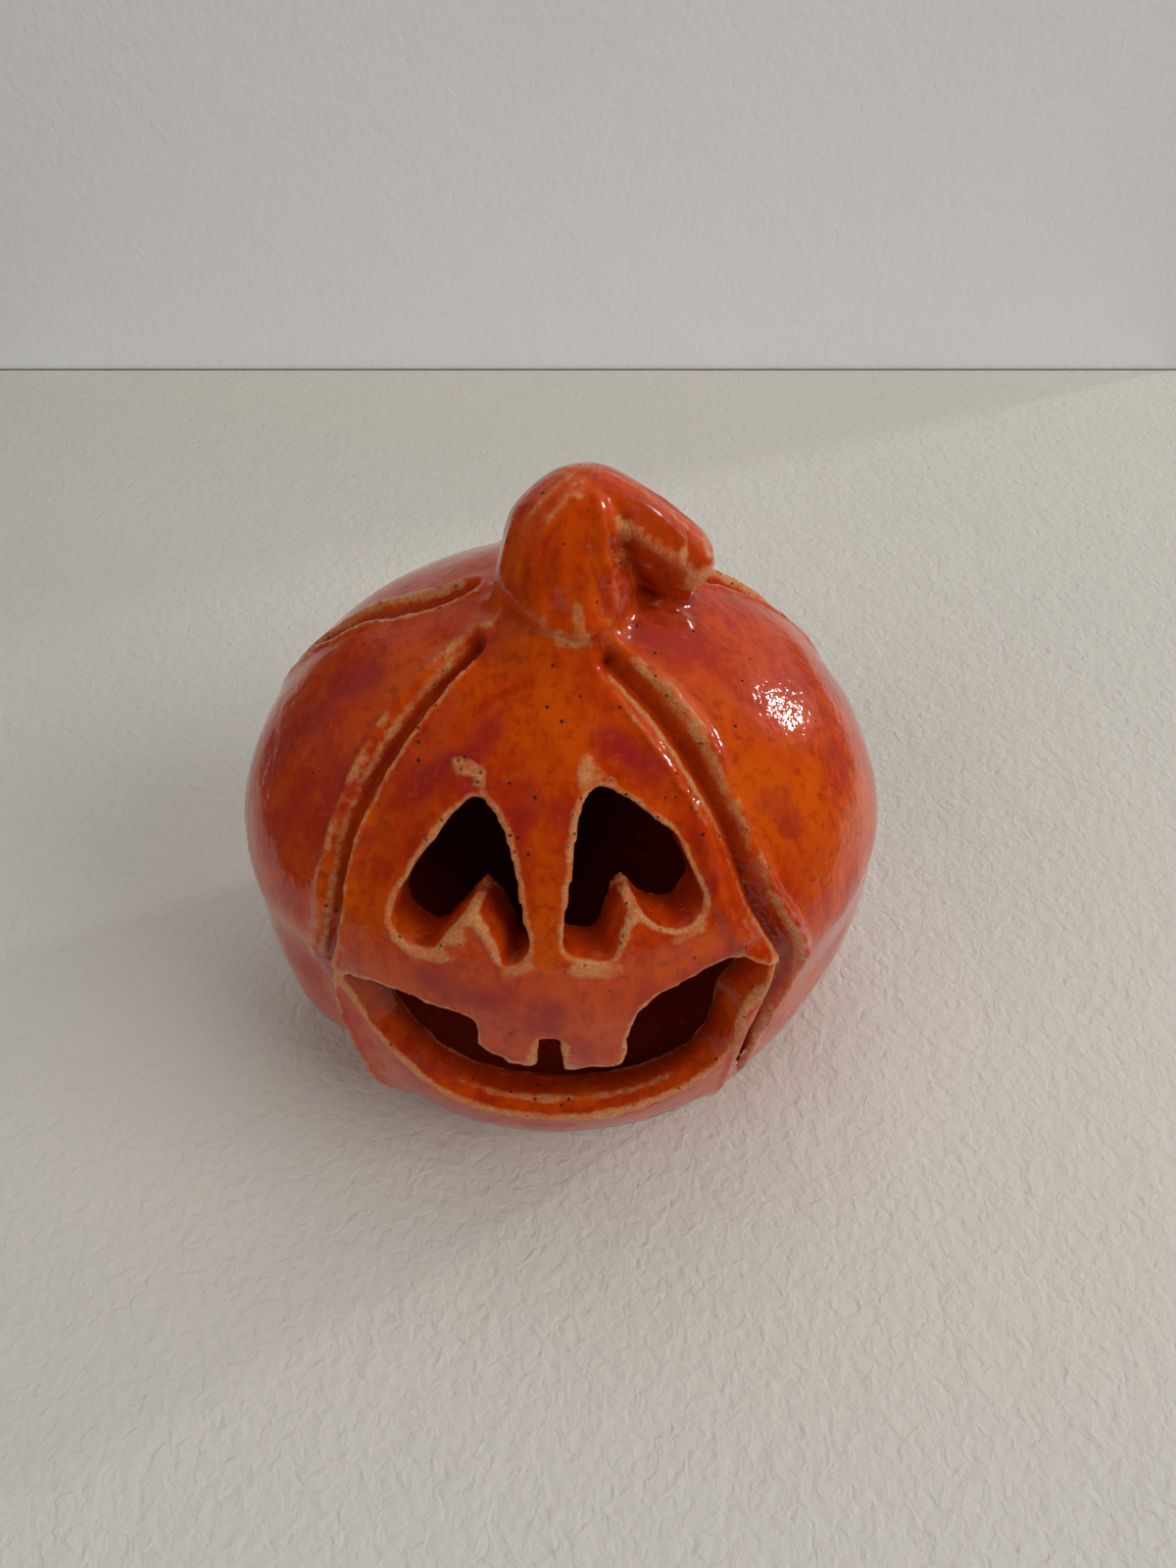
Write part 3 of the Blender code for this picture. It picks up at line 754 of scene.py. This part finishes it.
def clouds(size, detail=2.0, rough=0.5, twist=0.0, where=None, nodes=tree):
    """Return smooth noise from 0 to 1 with clouds about a size across."""
    node = nodes.nodes.new("ShaderNodeTexNoise")
    node.inputs["Scale"].default_value = 1.0 / size
    node.inputs["Detail"].default_value = detail
    node.inputs["Roughness"].default_value = rough
    node.inputs["Distortion"].default_value = twist
    wire(where or place, node.inputs["Vector"], nodes)
    return node.outputs["Fac"]


def sums(operation, *values, nodes=tree, clamp=False):
    """Return the result of a Math node."""
    node = nodes.nodes.new("ShaderNodeMath")
    node.operation = operation
    node.use_clamp = clamp
    for value, socket in zip(values, node.inputs):
        wire(value, socket, nodes)
    return node.outputs["Value"]


def rise(value, start, end, low=0.0, high=1.0, nodes=tree):
    """Return a smooth rise from low to high as the value goes from start to end."""
    node = nodes.nodes.new("ShaderNodeMapRange")
    node.interpolation_type = "SMOOTHSTEP"
    for key, setting in zip(("Value", "From Min", "From Max", "To Min", "To Max"),
                            (value, start, end, low, high)):
        wire(setting, node.inputs[key], nodes)
    return node.outputs["Result"]


def blend(share, under, over, nodes=tree):
    """Return two colours mixed."""
    node = nodes.nodes.new("ShaderNodeMix")
    node.data_type = "RGBA"
    wire(share, node.inputs["Factor"], nodes)
    wire(under, node.inputs[6], nodes)
    wire(over, node.inputs[7], nodes)
    return node.outputs[2]


def layer(name):
    """Return one of the clay's painted layers."""
    node = tree.nodes.new("ShaderNodeAttribute")
    node.attribute_name = name
    return node.outputs["Fac"]


def moved(distance, stretch=(1.0, 1.0, 1.0), lean=(0.0, 0.0, 0.0)):
    """Return the piece's coordinates moved along, stretched and leant, for another pattern."""
    node = tree.nodes.new("ShaderNodeMapping")
    node.inputs["Location"].default_value = (distance, -distance, 0.4 * distance)
    node.inputs["Scale"].default_value = stretch
    node.inputs["Rotation"].default_value = lean
    tree.links.new(place, node.inputs["Vector"])
    return node.outputs["Vector"]


big = clouds(15.0 * MM, 3.0, 0.55, 0.4)
other = clouds(12.0 * MM, 3.0, 0.6, 0.6, moved(0.37))
brushed = clouds(4.5 * MM, 4.0, 0.62, 0.6, moved(0.0, (1.0, 1.0, 0.45), (0.35, 0.3, 0.0)))
mottle = clouds(1.9 * MM, 3.0, 0.6, 0.4, moved(0.53))
fine = clouds(1.1 * MM, 3.0, 0.65)
grog = clouds(0.45 * MM, 2.0, 0.6)

# The orange, richer where it lies thick and redder where it lies thin.
amber = sums("ADD", sums("MULTIPLY", layer("thick"), 0.8), rise(big, 0.5, 0.68, 0.0, 0.55))
amber = sums("ADD", amber, sums("MULTIPLY", layer("streaky"), 0.7))
amber = sums("MULTIPLY", amber, rise(brushed, 0.3, 0.6, 0.5, 1.0), clamp=True)
colour = blend(rise(brushed, 0.58, 0.38), ORANGE, RED_ORANGE)
colour = blend(amber, colour, AMBER)
plum = sums("ADD", sums("MULTIPLY", layer("plum"), rise(brushed, 0.3, 0.56, 0.35, 1.0)),
            rise(other, 0.56, 0.72, 0.0, 0.55), clamp=True)
colour = blend(sums("MULTIPLY", plum, 0.9), colour, PLUM)
# Darker where glaze pools in hollows and groove bottoms; the curl's strokes in this layer are painted shade.
colour = blend(sums("MULTIPLY", layer("hollow"), 0.85), colour, DEEP)
# Painted shade: the inside of the chamber is darkened.
colour = blend(sums("MULTIPLY", layer("inner"), 0.85), colour, CHAMBER_SHADE)
colour = blend(rise(mottle, 0.5, 0.7, 0.0, 0.5), colour, DEEP)
colour = blend(rise(mottle, 0.42, 0.3, 0.0, 0.35), colour, AMBER)
dragged = clouds(1.5 * MM, 3.0, 0.6, 0.3, moved(0.71, (1.0, 1.0, 0.22), (0.3, 0.55, 0.0)))
colour = blend(rise(dragged, 0.54, 0.68, 0.0, 0.42), colour, DEEP)

# The buff clay breaks through on edges, burrs and wiped places.
thin = sums("ADD", layer("bare"), sums("MULTIPLY", layer("streaky"), 0.55))
thin = sums("ADD", thin, sums("MULTIPLY", sums("SUBTRACT", fine, 0.5), 0.75))
thin = sums("ADD", thin, sums("MULTIPLY", sums("SUBTRACT", mottle, 0.5), 0.7))
bare_share = rise(thin, 0.36, 0.9, 0.0, 0.95)
buff = blend(rise(grog, 0.38, 0.66, 0.0, 0.8), BUFF, PALE_BUFF)
buff = blend(rise(clouds(2.2 * MM, 2.0, 0.5, 0.0, moved(0.23)), 0.45, 0.7, 0.0, 0.55), buff, AMBER)
colour = blend(bare_share, colour, buff)

# Iron in the clay comes through as specks, and the foot is wiped clean of glaze.
specks = tree.nodes.new("ShaderNodeTexVoronoi")
specks.inputs["Scale"].default_value = 1.0 / (3.1 * MM)
wire(place, specks.inputs["Vector"], tree)
speck = rise(sums("ADD", specks.outputs["Distance"], sums("MULTIPLY", fine, 0.07)), 0.125, 0.085)
crumbs = tree.nodes.new("ShaderNodeTexVoronoi")
crumbs.inputs["Scale"].default_value = 1.0 / (1.5 * MM)
wire(place, crumbs.inputs["Vector"], tree)
crumb = sums("MULTIPLY", rise(crumbs.outputs["Distance"], 0.17, 0.12), rise(bare_share, 0.35, 0.6))
speck = sums("MAXIMUM", speck, sums("MULTIPLY", crumb, 0.8))
colour = blend(sums("MULTIPLY", speck, 0.92), colour, IRON)
height = tree.nodes.new("ShaderNodeSeparateXYZ")
wire(place, height.inputs[0], tree)
foot_line = sums("ADD", height.outputs["Z"], sums("MULTIPLY", clouds(9.0 * MM), -1.4 * MM))
clean = rise(foot_line, 0.5 * MM, 0.2 * MM)
colour = blend(clean, colour, blend(rise(grog, 0.35, 0.65), BISQUE, PALE_BUFF))
wire(colour, shader.inputs["Base Color"], tree)

rough_clay = sums("MAXIMUM", sums("MULTIPLY", bare_share, 0.28), clean)
wire(rise(rough_clay, 0.0, 1.0, 0.35, 0.85), shader.inputs["Roughness"], tree)
wire(rise(rough_clay, 0.0, 1.0, 0.85, 0.0), shader.inputs["Coat Weight"], tree)
shader.inputs["Coat Roughness"].default_value = 0.035
shader.inputs["Coat IOR"].default_value = 1.37
shader.inputs["Specular IOR Level"].default_value = 0.05


def relief(heights, depth, under=None):
    """Return a normal with a relief of a depth on it."""
    node = tree.nodes.new("ShaderNodeBump")
    node.inputs["Distance"].default_value = depth
    wire(heights, node.inputs["Height"], tree)
    if under:
        wire(under, node.inputs["Normal"], tree)
    return node.outputs["Normal"]


peel = relief(clouds(1.3 * MM, 2.0, 0.5), 0.095 * MM)
peel = relief(dragged, 0.07 * MM, peel)
peel = relief(sums("MULTIPLY", clouds(5.0 * MM, 1.0), 1.0), 0.1 * MM, peel)
rough_peel = relief(sums("MULTIPLY", bare_share, grog), 0.16 * MM, peel)
pitted = relief(sums("MULTIPLY", speck, -1.0), 0.12 * MM, rough_peel)
wire(pitted, shader.inputs["Normal"], tree)
wire(pitted, shader.inputs["Coat Normal"], tree)
clay.materials.clear()
clay.materials.append(glaze)

# ---------------------------------------------------------------------------------------
# The stand-in for a table top: a sheet of rough paper under the lantern, another standing
# behind it, and the darker table they lie on.
# ---------------------------------------------------------------------------------------

SHEET_HALF = 170.0 * MM
SHEET_BACK = 196.5 * MM
SHEET_FRONT = -260.0 * MM
SHEET_GAP = 0.7 * MM
BACKDROP_HEIGHT = 260.0 * MM
TABLE_HALF = 900.0 * MM
TABLE_DROP = 1.0 * MM


def sheet(name, corners, colour, tooth):
    """Lay a flat sheet with a tooth of a depth."""
    form = bmesh.new()
    rim = [form.verts.new(corner) for corner in corners]
    bmesh.ops.contextual_create(form, geom=rim)
    piece = placed(name, form)
    paper = bpy.data.materials.new(name)
    paper.use_nodes = True
    nodes = paper.node_tree
    surface = nodes.nodes["Principled BSDF"]
    spot = nodes.nodes.new("ShaderNodeTexCoord").outputs["Object"]
    mottle = clouds(60.0 * MM, 3.0, 0.5, 0.0, spot, nodes)
    wire(blend(rise(mottle, 0.3, 0.7, 0.0, 0.12, nodes), colour, tuple(0.86 * part for part in colour), nodes),
         surface.inputs["Base Color"], nodes)
    surface.inputs["Roughness"].default_value = 0.9
    surface.inputs["Specular IOR Level"].default_value = 0.2
    coarse = clouds(1.9 * MM, 2.0, 0.55, 0.5, spot, nodes)
    slow = clouds(9.0 * MM, 2.0, 0.5, 0.0, spot, nodes)
    bump = nodes.nodes.new("ShaderNodeBump")
    bump.inputs["Distance"].default_value = tooth
    wire(sums("ADD", coarse, slow, nodes=nodes), bump.inputs["Height"], nodes)
    wire(bump.outputs["Normal"], surface.inputs["Normal"], nodes)
    piece.data.materials.append(paper)
    return piece


sheet("floor", ((-SHEET_HALF, SHEET_FRONT, 0), (SHEET_HALF, SHEET_FRONT, 0),
                (SHEET_HALF, SHEET_BACK, 0), (-SHEET_HALF, SHEET_BACK, 0)), (0.73, 0.705, 0.64), 0.4 * MM)
sheet("backdrop", ((-SHEET_HALF, SHEET_BACK + SHEET_GAP, 0), (SHEET_HALF, SHEET_BACK + SHEET_GAP, 0),
                   (SHEET_HALF, SHEET_BACK + SHEET_GAP, BACKDROP_HEIGHT),
                   (-SHEET_HALF, SHEET_BACK + SHEET_GAP, BACKDROP_HEIGHT)), (0.90, 0.905, 0.90), 0.2 * MM)
sheet("table", ((-TABLE_HALF, -TABLE_HALF, -TABLE_DROP), (TABLE_HALF, -TABLE_HALF, -TABLE_DROP),
                (TABLE_HALF, TABLE_HALF, -TABLE_DROP), (-TABLE_HALF, TABLE_HALF, -TABLE_DROP)),
      (0.10, 0.075, 0.05), 0.0)

# ---------------------------------------------------------------------------------------
# Light and camera. Daylight comes softly from the right and a little behind, through a
# window; the room behind the camera is dark.
# ---------------------------------------------------------------------------------------

LIGHT_AIM = Vector((0.0, 0.0, 40.0)) * MM


def heading(azimuth, elevation):
    """Return the way out from the lantern: azimuth 0 is behind it, positive right."""
    a = math.radians(azimuth)
    e = math.radians(elevation)
    return Vector((math.sin(a) * math.cos(e), math.cos(a) * math.cos(e), math.sin(e)))


def lamp(name, azimuth, elevation, distance, size, power, colour):
    """Hang a square soft light round the lantern."""
    light = bpy.data.lights.new(name, "AREA")
    light.shape = "SQUARE"
    light.size = size
    light.energy = power
    light.color = colour
    hung = bpy.data.objects.new(name, light)
    bpy.context.scene.collection.objects.link(hung)
    way = heading(azimuth, elevation)
    hung.location = LIGHT_AIM + way * distance
    hung.rotation_euler = way.to_track_quat("Z", "Y").to_euler()
    return hung


lamp("window", 64, 14, 1.5, 0.09, 4.0, (1.0, 0.98, 0.95))
for name, azimuth, elevation, power in (("room_right", 112, 30, 8.2), ("room_left", -130, 30, 3.8)):
    lamp(name, azimuth, elevation, 1.2, 0.9, power, (1.0, 0.985, 0.965)).visible_glossy = False

lamp("room_back", 30, 75, 0.6, 0.4, 0.6, (1.0, 0.985, 0.965)).visible_glossy = False

world = bpy.data.worlds.new("studio")
bpy.context.scene.world = world
world.use_nodes = True
room = world.node_tree
toward = room.nodes.new("ShaderNodeTexCoord").outputs["Generated"]


def patch_of_light(azimuth, elevation, wide, edge, strength):
    """Return a soft round patch of light in the room."""
    dot = room.nodes.new("ShaderNodeVectorMath")
    dot.operation = "DOT_PRODUCT"
    dot.inputs[1].default_value = heading(azimuth, elevation)
    room.links.new(toward, dot.inputs[0])
    return rise(dot.outputs["Value"], math.cos(math.radians(wide + edge)),
                math.cos(math.radians(wide - edge)), 0.0, strength, room)


strength = sums("ADD", patch_of_light(14, 30, 56, 6, 0.34), patch_of_light(-78, 30, 26, 12, 0.16), nodes=room)
strength = sums("ADD", strength, 0.02, nodes=room)
wire(strength, room.nodes["Background"].inputs["Strength"], room)
room.nodes["Background"].inputs["Color"].default_value = (0.95, 0.98, 1.0, 1.0)

CAMERA_TILT = math.radians(48.0)
CAMERA_DISTANCE = 169.1 * MM
CAMERA_AIM = Vector((3.54, 0.0, 43.5)) * MM
CAMERA_LENS = 27.045
camera = bpy.data.objects.new("camera", bpy.data.cameras.new("camera"))
camera.data.lens = CAMERA_LENS
camera.data.sensor_width = 36.0
camera.data.clip_start = 0.01
camera.location = CAMERA_AIM + CAMERA_DISTANCE * Vector((0, -math.cos(CAMERA_TILT), math.sin(CAMERA_TILT)))
camera.rotation_euler = (math.pi / 2 - CAMERA_TILT, 0, 0)
bpy.context.scene.collection.objects.link(camera)
bpy.context.scene.camera = camera
bpy.context.scene.view_settings.view_transform = "Standard"
